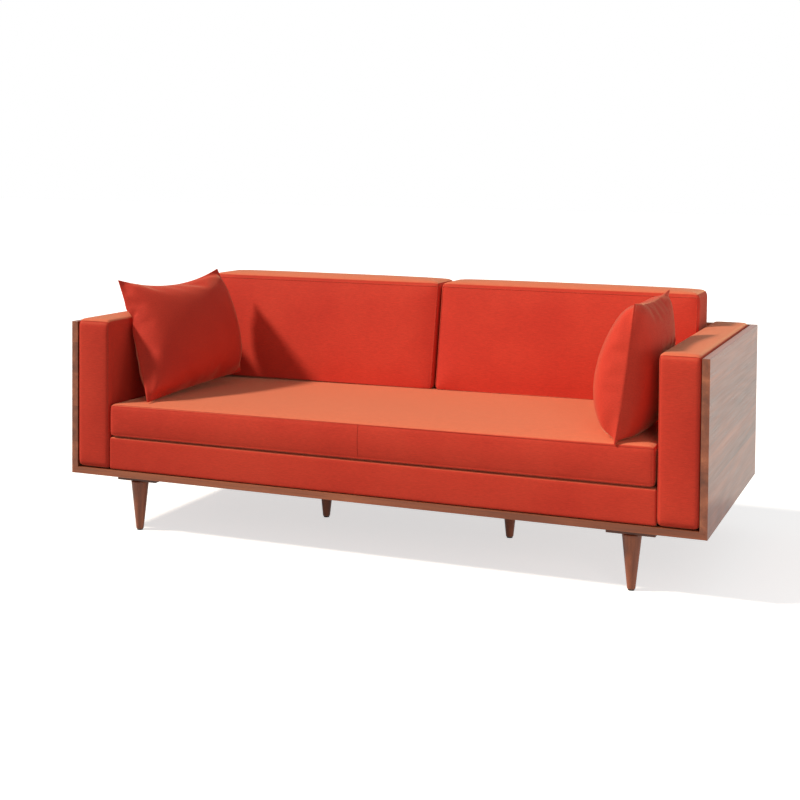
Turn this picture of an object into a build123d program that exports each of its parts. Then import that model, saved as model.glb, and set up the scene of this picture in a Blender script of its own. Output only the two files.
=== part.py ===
from build123d import *
from math import cos, radians, sin
import os

os.makedirs("parts", exist_ok=True)

# Driving sizes in millimetres. The origin is on the floor under the middle of the case.
# The seat faces -Y, and left and right are as seen from the front.
case_width = 2134
case_depth = 922
case_top = 698
base_underside = 185
base_thickness = 22
side_thickness = 22.5
side_lip = 5
back_thickness = 22
edge_round = 1.2

batten_thickness = 18
batten_width = 147
batten_setback = 40
centre_batten_length = 822
corner_leg_x = 838
corner_leg_y = 400
centre_leg_x = 336
leg_top_diameter = 58
leg_foot_diameter = 25
leg_collar = 7
glide_thickness = 4
glide_diameter = 20
glide_nail_radius = 1.6
glide_nail_length = 12

arm_inner_face = 920
arm_setback = 5
arm_back_gap = 2
arm_top = 712
arm_round = 22
arm_board_thickness = 25
arm_board_end_gap = 28
arm_board_top_gap = 26

deck_top = 318
deck_back = 377
deck_setback = 6
deck_foam_thickness = 12
rail_thickness = 25
deck_rail_top = 292
cross_rail_drop = 12
corner_block_leg = 70
spring_wire = 3.8
spring_width = 50
spring_bars = 28
spring_count = 8
spring_spacing = 222
clip_width = 24
clip_sheet = 1.2
felt_thickness = 3

back_frame_top = 690
back_pad_thickness = 26
webbing_width = 50
webbing_heights = (330, 420, 510)
back_rail_height = 45

seat_top = 442
seat_round = 20
seat_side_gap = 4
back_cushion_top = 825
back_cushion_foot = 139
back_cushion_crest = 208
back_cushion_round = 22
cushion_gap = 4
zip_thickness = 1.2
zip_height = 24
seat_zip_half = 700
back_zip_half = 360
back_zip_height = 60
pillow_zip_length = 270

pillow_half = 203
pillow_corner = 55
pillow_front_depth = 112
pillow_rear_depth = 84

cover_thickness = 1.5
soft_gap = 0.4
pocket_gap = 0.2
fit_gap = 0.1
countersink = 3
dowel_diameter = 8
bolt_diameter = 8

# Heights and faces that follow from them
base_top = base_underside + base_thickness
half_width = case_width / 2
half_depth = case_depth / 2
side_inner = half_width - side_thickness
back_inner = half_depth - back_thickness
batten_bottom = base_underside - batten_thickness
deck_front = -half_depth + deck_setback
rail_front = deck_front + cover_thickness + deck_foam_thickness + soft_gap
rail_rear = deck_back - 2
rail_end = arm_inner_face - 3
lining_front = deck_back + 2
lining_half = arm_inner_face - 0.6
back_rail_front = back_inner - 4 - rail_thickness
arm_outer_face = side_inner - 1
arm_bottom = base_top + 0.6
seat_bottom = deck_top + soft_gap
seat_half = arm_inner_face - seat_side_gap
centre_batten_half = batten_width / 2

leg_places = [
    (side * corner_leg_x, front * corner_leg_y) for front in (-1, 1) for side in (-1, 1)
] + [(side * centre_leg_x, 0) for side in (-1, 1)]
leg_names = [
    "leg_front_left",
    "leg_front_right",
    "leg_rear_left",
    "leg_rear_right",
    "leg_centre_left",
    "leg_centre_right",
]


def save(piece, name):
    """Label one finished piece and write its STEP file."""
    piece.part.label = name
    export_step(piece.part, f"parts/{name}.step")


def block(x_range, y_range, z_range, mode=Mode.ADD):
    """A box between two corners, in whichever order each pair is given."""
    sizes = [abs(pair[1] - pair[0]) for pair in (x_range, y_range, z_range)]
    middle = [(pair[0] + pair[1]) / 2 for pair in (x_range, y_range, z_range)]
    with Locations(tuple(middle)):
        Box(*sizes, mode=mode)


def upright_holes(places, radius, z_range):
    """Round holes along Z at the (x, y) places."""
    with Locations(*[(x, y, (z_range[0] + z_range[1]) / 2) for x, y in places]):
        Cylinder(radius, abs(z_range[1] - z_range[0]), mode=Mode.SUBTRACT)


def countersunk_screw(length, diameter, head_diameter):
    """A wood screw standing head down at the origin, its point up."""
    shank = diameter / 2
    head = head_diameter / 2
    with BuildPart(mode=Mode.PRIVATE) as screw:
        with BuildSketch(Plane.XZ):
            with BuildLine():
                Polyline(
                    (0, 0),
                    (head, 0),
                    (head, 0.5),
                    (shank, head - shank + 0.5),
                    (shank, length - diameter),
                    (0, length),
                    close=True,
                )
            make_face()
        revolve(axis=Axis.Z)
    return screw.part


# Places of the hidden fixings
side_dowels = [(side * (side_inner + (side_thickness - side_lip) / 2), y)
               for side in (-1, 1) for y in (-390, -150, 90, 330)]
back_dowels = [(x, (back_inner + half_depth) / 2) for x in (-800, -400, 0, 400, 800)]
corner_dowels = [(side, z) for side in (-1, 1) for z in (280, 450, 620)]
dowel_up = 20
dowel_down = 16
corner_dowel_out = 12
corner_dowel_in = 24

screw_diameter = 4
screw_head = 8
batten_screw_places = [(side * x, y) for side in (-1, 1) for x in (788, 888) for y in (-300, -100, 100, 300)]
batten_screw_places += [(x, y) for x in (-380, -130, 130, 380) for y in (-50, 50)]
batten_screw_length = 34

deck_screw_places = [(x, rail_front + rail_thickness / 2) for x in (-700, -350, 0, 350, 700)]
deck_screw_places += [(x, rail_rear - rail_thickness / 2) for x in (-650, -220, 220, 650)]
deck_screw_places += [(side * (rail_end - rail_thickness / 2), y) for side in (-1, 1) for y in (-200, 180)]
cross_rail_x = 306
deck_screw_places += [(side * cross_rail_x, y) for side in (-1, 1) for y in (-200, 180)]
deck_screw_length = 50

arm_board_outer = arm_outer_face - cover_thickness - 1
arm_screw_places = [(side * (arm_board_outer - arm_board_thickness / 2), y)
                    for side in (-1, 1) for y in (-320, 0, 320)]
arm_screw_length = 80
arm_board_bottom = 232

back_post_places = (-897, -302, 302, 897)
back_post_width = 40
back_screw_heights = (300, 590)
back_screw_length = 40

# Wooden case
with BuildPart() as base_board:
    board_half = half_width - side_lip
    block((-board_half, board_half), (-half_depth, half_depth), (base_underside, base_top))
    front_edges = base_board.faces().sort_by(Axis.Y)[0].edges().filter_by(Axis.X)
    fillet(front_edges.sort_by(Axis.Z)[0], edge_round)
    upright_holes(side_dowels + back_dowels, dowel_diameter / 2 + fit_gap,
                  (base_top - dowel_down - 1, base_top))
    upright_holes(batten_screw_places, screw_diameter / 2 + fit_gap,
                  (base_underside, batten_bottom + batten_screw_length + 1))
    upright_holes(deck_screw_places + arm_screw_places, screw_diameter / 2 + fit_gap,
                  (base_underside, base_top))
    upright_holes(leg_places, bolt_diameter / 2 + 1, (base_underside, base_top - 6))
    # Countersinks for the screws that are driven up through the board
    with Locations(*[(x, y, base_underside + countersink / 2)
                     for x, y in deck_screw_places + arm_screw_places]):
        Cone(screw_head / 2 + 1, screw_diameter / 2 + 1, countersink, mode=Mode.SUBTRACT)
save(base_board, "base_board")

for side, side_name in ((-1, "left"), (1, "right")):
    with BuildPart() as side_panel:
        block((side * side_inner, side * half_width), (-half_depth, half_depth), (base_underside, case_top))
        top_edges = side_panel.faces().sort_by(Axis.Z)[-1].edges()
        fillet(top_edges, edge_round)
        # Rebate that drops over the end of the base board and leaves a thin lip outside it
        block((side * (side_inner - 1), side * (half_width - side_lip)),
              (-half_depth - 1, half_depth + 1), (base_underside - 1, base_top), mode=Mode.SUBTRACT)
        own_dowels = [place for place in side_dowels if place[0] * side > 0]
        upright_holes(own_dowels, dowel_diameter / 2 + fit_gap, (base_top, base_top + dowel_up + 1))
        with Locations(*[(side * (side_inner + corner_dowel_out / 2), (back_inner + half_depth) / 2, z)
                         for end, z in corner_dowels if end == side]):
            Cylinder(dowel_diameter / 2 + fit_gap, corner_dowel_out + 2,
                     rotation=(0, 90, 0), mode=Mode.SUBTRACT)
    save(side_panel, f"side_panel_{side_name}")

with BuildPart() as back_panel:
    block((-side_inner, side_inner), (back_inner, half_depth), (base_top, case_top))
    fillet(back_panel.faces().sort_by(Axis.Z)[-1].edges().filter_by(Axis.X), edge_round)
    upright_holes(back_dowels, dowel_diameter / 2 + fit_gap, (base_top, base_top + dowel_up + 1))
    with Locations(*[(side * (side_inner - corner_dowel_in / 2), (back_inner + half_depth) / 2, z)
                     for side, z in corner_dowels]):
        Cylinder(dowel_diameter / 2 + fit_gap, corner_dowel_in + 2,
                 rotation=(0, 90, 0), mode=Mode.SUBTRACT)
    # Pilot holes for the screws of the upholstered back frame
    with Locations(*[(x, back_inner + 8, z) for x in back_post_places for z in back_screw_heights]):
        Cylinder(screw_diameter / 2 + fit_gap, 18, rotation=(90, 0, 0), mode=Mode.SUBTRACT)
save(back_panel, "back_panel")

with BuildPart() as case_dowels:
    with Locations(*[(x, y, base_top + (dowel_up - dowel_down) / 2) for x, y in side_dowels + back_dowels]):
        Cylinder(dowel_diameter / 2, dowel_up + dowel_down)
    with Locations(*[(side * (side_inner + (corner_dowel_out - corner_dowel_in) / 2),
                      (back_inner + half_depth) / 2, z) for side, z in corner_dowels]):
        Cylinder(dowel_diameter / 2, corner_dowel_out + corner_dowel_in, rotation=(0, 90, 0))
save(case_dowels, "case_dowels")

# Battens, legs and their bolts
nut_flange = 22
nut_flange_thickness = 1.6
nut_barrel = 10.4
nut_depth = 11
bolt_in_leg = 36
bolt_up = 34
screw_pockets = screw_head / 2 + fit_gap

batten_ranges = {
    "leg_batten_left": ((-corner_leg_x - batten_width / 2, -corner_leg_x + batten_width / 2),
                        (-half_depth + batten_setback, half_depth - batten_setback)),
    "leg_batten_right": ((corner_leg_x - batten_width / 2, corner_leg_x + batten_width / 2),
                         (-half_depth + batten_setback, half_depth - batten_setback)),
    "leg_batten_centre": ((-centre_batten_length / 2, centre_batten_length / 2),
                          (-centre_batten_half, centre_batten_half)),
}
for name, (x_range, y_range) in batten_ranges.items():
    with BuildPart() as batten:
        block(x_range, y_range, (batten_bottom, base_underside))
        fillet(batten.faces().sort_by(Axis.Z)[0].edges(), 2)
        own_legs = [p for p in leg_places
                    if x_range[0] < p[0] < x_range[1] and y_range[0] < p[1] < y_range[1]]
        own_screws = [p for p in batten_screw_places
                      if x_range[0] < p[0] < x_range[1] and y_range[0] < p[1] < y_range[1]]
        upright_holes(own_legs, nut_barrel / 2 + fit_gap, (batten_bottom, base_underside))
        upright_holes(own_legs, nut_flange / 2 + fit_gap,
                      (base_underside - nut_flange_thickness - 0.2, base_underside))
        upright_holes(own_screws, screw_diameter / 2 + fit_gap, (batten_bottom, base_underside))
        with Locations(*[(x, y, batten_bottom + countersink / 2) for x, y in own_screws]):
            Cone(screw_pockets + 1, screw_diameter / 2 + 1, countersink, mode=Mode.SUBTRACT)
    save(batten, name)

for name, (x, y) in zip(leg_names, leg_places):
    with BuildPart() as leg:
        with BuildSketch(Plane.XZ.offset(-y)):
            with BuildLine():
                Polyline(
                    (x, glide_thickness),
                    (x + leg_foot_diameter / 2, glide_thickness),
                    (x + leg_top_diameter / 2, batten_bottom - leg_collar),
                    (x + leg_top_diameter / 2, batten_bottom),
                    (x, batten_bottom),
                    close=True,
                )
            make_face()
        revolve(axis=Axis((x, y, 0), (0, 0, 1)))
        fillet(leg.edges().group_by(Axis.Z)[0], 2)
        fillet(leg.edges().group_by(Axis.Z)[-1], 1)
        upright_holes([(x, y)], bolt_diameter / 2 + fit_gap, (batten_bottom - bolt_in_leg - 1, batten_bottom))
        upright_holes([(x, y)], glide_nail_radius + fit_gap,
                      (glide_thickness, glide_thickness + glide_nail_length + 1))
    save(leg, name)

with BuildPart() as leg_bolts:
    with Locations(*[(x, y, batten_bottom + (bolt_up - bolt_in_leg) / 2) for x, y in leg_places]):
        Cylinder(bolt_diameter / 2, bolt_up + bolt_in_leg)
save(leg_bolts, "leg_bolts")

with BuildPart() as leg_tee_nuts:
    with Locations(*[(x, y, base_underside - nut_flange_thickness / 2) for x, y in leg_places]):
        Cylinder(nut_flange / 2, nut_flange_thickness)
    with Locations(*[(x, y, base_underside - nut_flange_thickness - (nut_depth - 2) / 2)
                     for x, y in leg_places]):
        Cylinder(nut_barrel / 2, nut_depth - 2)
    upright_holes(leg_places, bolt_diameter / 2 + fit_gap / 2, (batten_bottom, base_underside))
save(leg_tee_nuts, "leg_tee_nuts")

with BuildPart() as leg_glides:
    with Locations(*[(x, y, glide_thickness / 2) for x, y in leg_places]):
        Cylinder(glide_diameter / 2, glide_thickness)
    fillet(leg_glides.edges().group_by(Axis.Z)[0], 1)
    with Locations(*[(x, y, glide_thickness + glide_nail_length / 2) for x, y in leg_places]):
        Cylinder(glide_nail_radius, glide_nail_length)
save(leg_glides, "leg_glides")

with BuildPart() as batten_screws:
    with Locations(*[(x, y, batten_bottom) for x, y in batten_screw_places]):
        add(countersunk_screw(batten_screw_length, screw_diameter, screw_head))
save(batten_screws, "batten_screws")

# Sprung seat deck
rail_z = (base_top, deck_rail_top)
deck_rails = {
    "deck_front_rail": ((-rail_end, rail_end), (rail_front, rail_front + rail_thickness)),
    "deck_rear_rail": ((-rail_end, rail_end), (rail_rear - rail_thickness, rail_rear)),
    "deck_side_rail_left": ((-rail_end, -rail_end + rail_thickness),
                            (rail_front + rail_thickness, rail_rear - rail_thickness)),
    "deck_side_rail_right": ((rail_end - rail_thickness, rail_end),
                             (rail_front + rail_thickness, rail_rear - rail_thickness)),
}
screw_hole_top = base_underside + deck_screw_length + 1
for name, (x_range, y_range) in deck_rails.items():
    with BuildPart() as rail:
        block(x_range, y_range, rail_z)
        own_screws = [p for p in deck_screw_places
                      if x_range[0] < p[0] < x_range[1] and y_range[0] < p[1] < y_range[1]]
        upright_holes(own_screws, screw_diameter / 2 + fit_gap, (base_top, screw_hole_top))
    save(rail, name)

with BuildPart() as deck_cross_rails:
    for side in (-1, 1):
        block((side * cross_rail_x - rail_thickness / 2, side * cross_rail_x + rail_thickness / 2),
              (rail_front + rail_thickness, rail_rear - rail_thickness),
              (base_top, deck_rail_top - cross_rail_drop))
    upright_holes([p for p in deck_screw_places if abs(p[0]) == cross_rail_x and abs(p[1]) < 250],
                  screw_diameter / 2 + fit_gap, (base_top, screw_hole_top))
save(deck_cross_rails, "deck_cross_rails")

with BuildPart() as deck_corner_blocks:
    with BuildSketch(Plane.XY.offset(base_top + 10)):
        for side in (-1, 1):
            for y, turn in ((rail_front + rail_thickness, 1), (rail_rear - rail_thickness, -1)):
                with BuildLine():
                    x = side * (rail_end - rail_thickness)
                    Polyline((x, y), (x - side * corner_block_leg, y), (x, y + turn * corner_block_leg),
                             close=True)
                make_face()
    extrude(amount=deck_rail_top - base_top - 20)
save(deck_corner_blocks, "deck_corner_blocks")

# Sinuous springs run front to back, each end lying in a folded clip on a rail
spring_z = deck_rail_top + clip_sheet + fit_gap + spring_wire / 2
spring_front = rail_front + rail_thickness / 2
spring_rear = rail_rear - rail_thickness / 2
spring_pitch = (spring_rear - spring_front) / (spring_bars - 1)
spring_bar = spring_width / 2 - spring_pitch / 2
spring_xs = [(index - (spring_count - 1) / 2) * spring_spacing for index in range(spring_count)]

with BuildPart(mode=Mode.PRIVATE) as one_spring:
    with BuildLine(Plane.XY.offset(spring_z)) as spring_path:
        for bar in range(spring_bars):
            y = spring_front + bar * spring_pitch
            way = 1 if bar % 2 == 0 else -1
            Line((-way * spring_bar, y), (way * spring_bar, y))
            if bar < spring_bars - 1:
                ThreePointArc((way * spring_bar, y),
                              (way * (spring_bar + spring_pitch / 2), y + spring_pitch / 2),
                              (way * spring_bar, y + spring_pitch))
    with BuildSketch(Plane(spring_path.line @ 0, z_dir=spring_path.line % 0)):
        Circle(spring_wire / 2)
    sweep()

with BuildPart() as deck_springs:
    with Locations(*[(x, 0, 0) for x in spring_xs]):
        add(one_spring.part)
save(deck_springs, "deck_springs")

with BuildPart() as spring_clips:
    clip_top = spring_z + spring_wire / 2 + fit_gap + clip_sheet
    for end_y, way in ((spring_front, -1), (spring_rear, 1)):
        web = end_y + way * (spring_wire / 2 + fit_gap)
        for x in spring_xs:
            x_range = (x - clip_width / 2, x + clip_width / 2)
            block(x_range, (end_y - way * 5, web + way * clip_sheet),
                  (deck_rail_top, deck_rail_top + clip_sheet))
            block(x_range, (web, web + way * clip_sheet), (deck_rail_top, clip_top))
            block(x_range, (end_y - way * 4, web + way * clip_sheet), (clip_top - clip_sheet, clip_top))
save(spring_clips, "spring_clips")

felt_bottom = clip_top + 0.1
with BuildPart() as deck_felt:
    block((-rail_end + 12, rail_end - 12), (rail_front + 2, rail_rear - 2),
          (felt_bottom, felt_bottom + felt_thickness))
save(deck_felt, "deck_felt")

foam_half = arm_inner_face - 0.5 - cover_thickness - soft_gap
with BuildPart() as deck_foam:
    block((-foam_half, foam_half), (deck_front + cover_thickness, deck_back - cover_thickness - soft_gap),
          (felt_bottom + felt_thickness + 0.1, deck_top - cover_thickness))
    block((-foam_half, foam_half), (deck_front + cover_thickness, rail_front - 0.1),
          (base_top + 8, deck_top - cover_thickness - 4))
save(deck_foam, "deck_foam")

with BuildPart() as deck_cover:
    cover_half = arm_inner_face - 0.5
    block((-cover_half, cover_half), (deck_front, deck_back), (base_top + 2, deck_top))
    fillet(deck_cover.edges().filter_by(Axis.Z) + deck_cover.faces().sort_by(Axis.Z)[-1].edges(), 4)
    block((-cover_half + cover_thickness, cover_half - cover_thickness),
          (deck_front + cover_thickness, deck_back - cover_thickness),
          (base_top, deck_top - cover_thickness), mode=Mode.SUBTRACT)
save(deck_cover, "deck_cover")

with BuildPart() as deck_screws:
    with Locations(*[(x, y, base_underside) for x, y in deck_screw_places]):
        add(countersunk_screw(deck_screw_length, screw_diameter, screw_head))
save(deck_screws, "deck_screws")

# Upholstered arms
arm_y = (-half_depth + arm_setback, back_inner - arm_back_gap)
for side, side_name in ((-1, "left"), (1, "right")):
    own_screws = [p for p in arm_screw_places if p[0] * side > 0]
    board_x = (side * (arm_board_outer - arm_board_thickness), side * arm_board_outer)
    board_y = (arm_y[0] + arm_board_end_gap, arm_y[1] - arm_board_end_gap)

    with BuildPart() as arm_board:
        block(board_x, board_y, (arm_board_bottom, arm_top - arm_board_top_gap))
        upright_holes(own_screws, screw_diameter / 2 + fit_gap,
                      (arm_board_bottom, base_underside + arm_screw_length + 1))
    save(arm_board, f"arm_board_{side_name}")

    with BuildPart() as arm_foam:
        inset = cover_thickness + 0.1
        block((side * (arm_inner_face + inset), side * (arm_outer_face - inset)),
              (arm_y[0] + inset, arm_y[1] - inset), (arm_bottom + inset, arm_top - inset))
        fillet(arm_foam.edges(), arm_round - inset)
        # Pocket for the board, open towards the case side
        block((board_x[0] - side * pocket_gap, side * arm_outer_face),
              (board_y[0] - pocket_gap, board_y[1] + pocket_gap),
              (arm_board_bottom - pocket_gap, arm_top - arm_board_top_gap + pocket_gap), mode=Mode.SUBTRACT)
        upright_holes(own_screws, screw_diameter / 2 + 1, (arm_bottom, arm_board_bottom))
    save(arm_foam, f"arm_foam_{side_name}")

    with BuildPart() as arm_cover:
        block((side * arm_inner_face, side * arm_outer_face), arm_y, (arm_bottom, arm_top))
        fillet(arm_cover.edges(), arm_round)
        with BuildPart(mode=Mode.PRIVATE) as hollow:
            block((side * (arm_inner_face + cover_thickness), side * (arm_outer_face - cover_thickness)),
                  (arm_y[0] + cover_thickness, arm_y[1] - cover_thickness),
                  (arm_bottom + cover_thickness, arm_top - cover_thickness))
            fillet(hollow.edges(), arm_round - cover_thickness)
        add(hollow.part, mode=Mode.SUBTRACT)
        upright_holes(own_screws, screw_diameter / 2 + 1, (arm_bottom - 1, arm_bottom + 4))
    save(arm_cover, f"arm_cover_{side_name}")

with BuildPart() as arm_screws:
    with Locations(*[(x, y, base_underside) for x, y in arm_screw_places]):
        add(countersunk_screw(arm_screw_length, screw_diameter, screw_head))
save(arm_screws, "arm_screws")

# Upholstered inner back
back_rail_y = (back_rail_front, back_rail_front + rail_thickness)
back_bottom_z = (base_top + 1, base_top + 1 + back_rail_height)
back_top_z = (back_frame_top - 3 - back_rail_height, back_frame_top - 3)

with BuildPart() as back_bottom_rail:
    block((-rail_end, rail_end), back_rail_y, back_bottom_z)
save(back_bottom_rail, "back_bottom_rail")

with BuildPart() as back_top_rail:
    block((-rail_end, rail_end), back_rail_y, back_top_z)
save(back_top_rail, "back_top_rail")

with BuildPart() as back_posts:
    for x in back_post_places:
        block((x - back_post_width / 2, x + back_post_width / 2), back_rail_y,
              (back_bottom_z[1], back_top_z[0]))
    with Locations(*[(x, sum(back_rail_y) / 2, z) for x in back_post_places for z in back_screw_heights]):
        Cylinder(screw_diameter / 2 + fit_gap, rail_thickness + 1, rotation=(90, 0, 0), mode=Mode.SUBTRACT)
    with Locations(*[(x, back_rail_front + countersink / 2, z)
                     for x in back_post_places for z in back_screw_heights]):
        Cone(screw_diameter / 2 + 1, screw_head / 2 + 1, countersink, rotation=(90, 0, 0), mode=Mode.SUBTRACT)
save(back_posts, "back_posts")

with BuildPart() as back_webbing:
    for z in webbing_heights:
        block((-rail_end, rail_end), (back_rail_front - 1.8, back_rail_front - 0.2),
              (z - webbing_width / 2, z + webbing_width / 2))
save(back_webbing, "back_webbing")

with BuildPart() as back_pad:
    block((-rail_end, rail_end), (back_rail_front - 2 - back_pad_thickness, back_rail_front - 2),
          (base_top + 4, back_frame_top - 3))
save(back_pad, "back_pad")

with BuildPart() as back_lining:
    block((-lining_half, lining_half), (lining_front, back_inner - 1), (base_top + 0.6, back_frame_top))
    fillet(back_lining.faces().sort_by(Axis.Z)[-1].edges().filter_by(Axis.X).sort_by(Axis.Y)[0], 3)
    block((-lining_half + cover_thickness, lining_half - cover_thickness),
          (lining_front + cover_thickness, back_inner), (base_top, back_frame_top - cover_thickness),
          mode=Mode.SUBTRACT)
save(back_lining, "back_lining")

with BuildPart() as back_screws:
    with Locations(*[Location((x, back_rail_front, z), (-90, 0, 0))
                     for x in back_post_places for z in back_screw_heights]):
        add(countersunk_screw(back_screw_length, screw_diameter, screw_head))
save(back_screws, "back_screws")

# Seat cushion
seat_y = (-half_depth, deck_back - 2)


def rounded_block(x_range, y_range, z_range, round_radius, inset):
    """A rounded box, shrunk by inset on every face."""
    with BuildPart(mode=Mode.PRIVATE) as body:
        block((x_range[0] + inset, x_range[1] - inset), (y_range[0] + inset, y_range[1] - inset),
              (z_range[0] + inset, z_range[1] - inset))
        fillet(body.edges(), round_radius - inset)
    return body.part


def zip_strip(x_middle, half_length, y_face, z_middle):
    """Zip tape on a rear face, with its slider and pull tab."""
    block((x_middle - half_length, x_middle + half_length), (y_face, y_face + 0.6),
          (z_middle - zip_height / 2, z_middle + zip_height / 2))
    block((x_middle - half_length + 6, x_middle - half_length + 18), (y_face + 0.6, y_face + zip_thickness),
          (z_middle - 4, z_middle + 4))
    block((x_middle - half_length + 18, x_middle - half_length + 44), (y_face + 0.6, y_face + zip_thickness),
          (z_middle - 2.5, z_middle + 2.5))


seat_x = (-seat_half, seat_half)
seat_z = (seat_bottom, seat_top)
with BuildPart() as seat_cushion_core:
    add(rounded_block(seat_x, seat_y, seat_z, seat_round, cover_thickness + 0.1))
save(seat_cushion_core, "seat_cushion_core")

with BuildPart() as seat_cushion_cover:
    add(rounded_block(seat_x, seat_y, seat_z, seat_round, 0))
    add(rounded_block(seat_x, seat_y, seat_z, seat_round, cover_thickness), mode=Mode.SUBTRACT)
save(seat_cushion_cover, "seat_cushion_cover")

with BuildPart() as seat_cushion_zip:
    zip_strip(0, seat_zip_half, seat_y[1], (seat_bottom + seat_top) / 2)
save(seat_cushion_zip, "seat_cushion_zip")

# Wedge back cushions
back_cushion_bottom = seat_top + soft_gap
back_cushion_rear = deck_back


def wedge(x_range, inset):
    """A back cushion: upright behind, sloping in front, rounded on every edge."""
    with BuildPart(mode=Mode.PRIVATE) as body:
        with BuildSketch(Plane.YZ.offset(x_range[0] + inset)):
            with BuildLine():
                Polyline(
                    (back_cushion_foot, back_cushion_bottom),
                    (back_cushion_rear, back_cushion_bottom),
                    (back_cushion_rear, back_cushion_top),
                    (back_cushion_crest, back_cushion_top),
                    close=True,
                )
            make_face()
            if inset:
                offset(amount=-inset, kind=Kind.INTERSECTION, mode=Mode.REPLACE)
        extrude(amount=x_range[1] - x_range[0] - 2 * inset)
        fillet(body.edges(), back_cushion_round - inset)
    return body.part


for side, side_name in ((-1, "left"), (1, "right")):
    ends = sorted((side * cushion_gap / 2, side * (arm_inner_face - 6)))

    with BuildPart() as back_core:
        add(wedge(ends, cover_thickness + 0.1))
    save(back_core, f"back_cushion_{side_name}_core")

    with BuildPart() as back_cover:
        add(wedge(ends, 0))
        add(wedge(ends, cover_thickness), mode=Mode.SUBTRACT)
    save(back_cover, f"back_cushion_{side_name}_cover")

    with BuildPart() as back_zip:
        zip_strip(sum(ends) / 2, back_zip_half, back_cushion_rear, back_cushion_bottom + back_zip_height)
    save(back_zip, f"back_cushion_{side_name}_zip")

# Throw pillows
# How far out the outline is, against how far through the pillow, both as fractions
pillow_profile = ((0, 1.0), (0.3, 0.95), (0.6, 0.82), (0.82, 0.62), (0.95, 0.38), (1.0, 0.18))
# Centre, direction that the face looks in about Z, upward tip of the face, and roll in its plane
pillow_stands = {
    "left": ((-805, -178, 658), -21, 13, 5.8),
    "right": ((824, -256, 650), 178, 7, -1),
}


def pillow_plane(centre, turn, tip, roll):
    """The plane of a pillow's seam, its normal towards the pillow's face."""
    facing = Vector(cos(radians(tip)) * cos(radians(turn)), cos(radians(tip)) * sin(radians(turn)),
                    sin(radians(tip)))
    along = Vector(-sin(radians(turn)), cos(radians(turn)), 0)
    return Plane(origin=centre, x_dir=along, z_dir=facing).rotated((0, 0, roll))


def pillow_body(plane, inset):
    """A knife-edged pillow, fuller on its face than on the side that leans."""
    rear = [(-part * (pillow_rear_depth - inset), out) for part, out in reversed(pillow_profile[1:])]
    face = [(part * (pillow_front_depth - inset), out) for part, out in pillow_profile]
    with BuildPart(mode=Mode.PRIVATE) as body:
        for depth, out in rear + face:
            size = 2 * (pillow_half * out - inset)
            with BuildSketch(plane.offset(depth)):
                RectangleRounded(size, size, (pillow_corner - inset) * out)
        loft(ruled=True)
    return body.part


for side_name, stand in pillow_stands.items():
    plane = pillow_plane(*stand)

    with BuildPart() as pillow_insert:
        add(pillow_body(plane, cover_thickness + 0.3))
    save(pillow_insert, f"pillow_{side_name}_insert")

    with BuildPart() as pillow_cover:
        add(pillow_body(plane, 0))
        add(pillow_body(plane, cover_thickness), mode=Mode.SUBTRACT)
    save(pillow_cover, f"pillow_{side_name}_cover")

    with BuildPart() as pillow_zip:
        with BuildSketch(plane.offset(-1)):
            with Locations((0, -pillow_half - 1.6)):
                Rectangle(pillow_zip_length, 3)
        extrude(amount=2)
    save(pillow_zip, f"pillow_{side_name}_zip")
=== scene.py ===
import math

import bmesh
import bpy
from mathutils import Matrix, Vector
from mathutils.bvhtree import BVHTree


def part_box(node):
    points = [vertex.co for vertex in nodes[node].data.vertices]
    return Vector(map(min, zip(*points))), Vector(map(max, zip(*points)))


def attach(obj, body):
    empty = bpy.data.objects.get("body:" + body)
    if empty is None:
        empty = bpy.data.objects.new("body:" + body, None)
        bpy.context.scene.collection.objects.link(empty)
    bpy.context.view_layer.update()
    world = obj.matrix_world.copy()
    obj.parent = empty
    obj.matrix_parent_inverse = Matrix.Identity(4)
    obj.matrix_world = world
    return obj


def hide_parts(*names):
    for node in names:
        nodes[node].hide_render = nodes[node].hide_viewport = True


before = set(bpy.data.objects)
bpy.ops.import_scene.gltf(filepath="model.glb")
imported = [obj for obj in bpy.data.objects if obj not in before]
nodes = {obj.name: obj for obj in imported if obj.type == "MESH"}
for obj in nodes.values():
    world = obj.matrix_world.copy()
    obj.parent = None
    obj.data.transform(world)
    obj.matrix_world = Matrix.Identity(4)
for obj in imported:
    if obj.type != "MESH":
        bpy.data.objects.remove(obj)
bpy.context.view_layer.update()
scene = bpy.context.scene
scene.view_settings.view_transform = "Standard"
scene.view_settings.look = "None"


# camera at eye level, to the right of the sofa, with its frame shifted down
camera = {
    "place": (1.7376, -4.3599, 1.2424),
    "turn": 21.573,
    "tip": 2.074,
    "roll": 0.519,
    "lens": 62.53,
    "shift": (-0.0279, -0.2345),
    "sensor": 36,
    "reach": 60,
}


def addCamera(values):
    lens = bpy.data.cameras.new("viewCamera")
    lens.lens = values["lens"]
    lens.sensor_width = values["sensor"]
    lens.shift_x, lens.shift_y = values["shift"]
    lens.clip_end = values["reach"]
    item = bpy.data.objects.new("viewCamera", lens)
    scene.collection.objects.link(item)
    turn = Matrix.Rotation(math.radians(values["turn"]), 4, "Z")
    tip = Matrix.Rotation(math.radians(90 - values["tip"]), 4, "X")
    roll = Matrix.Rotation(math.radians(values["roll"]), 4, "Z")
    item.matrix_world = Matrix.Translation(values["place"]) @ turn @ tip @ roll
    scene.camera = item


addCamera(camera)
print("camera placed")


# small helpers for node trees
def newMaterial(name):
    mat = bpy.data.materials.new(name)
    mat.use_nodes = True
    tree = mat.node_tree
    shader = tree.nodes["Principled BSDF"]
    return mat, tree, shader


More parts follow.
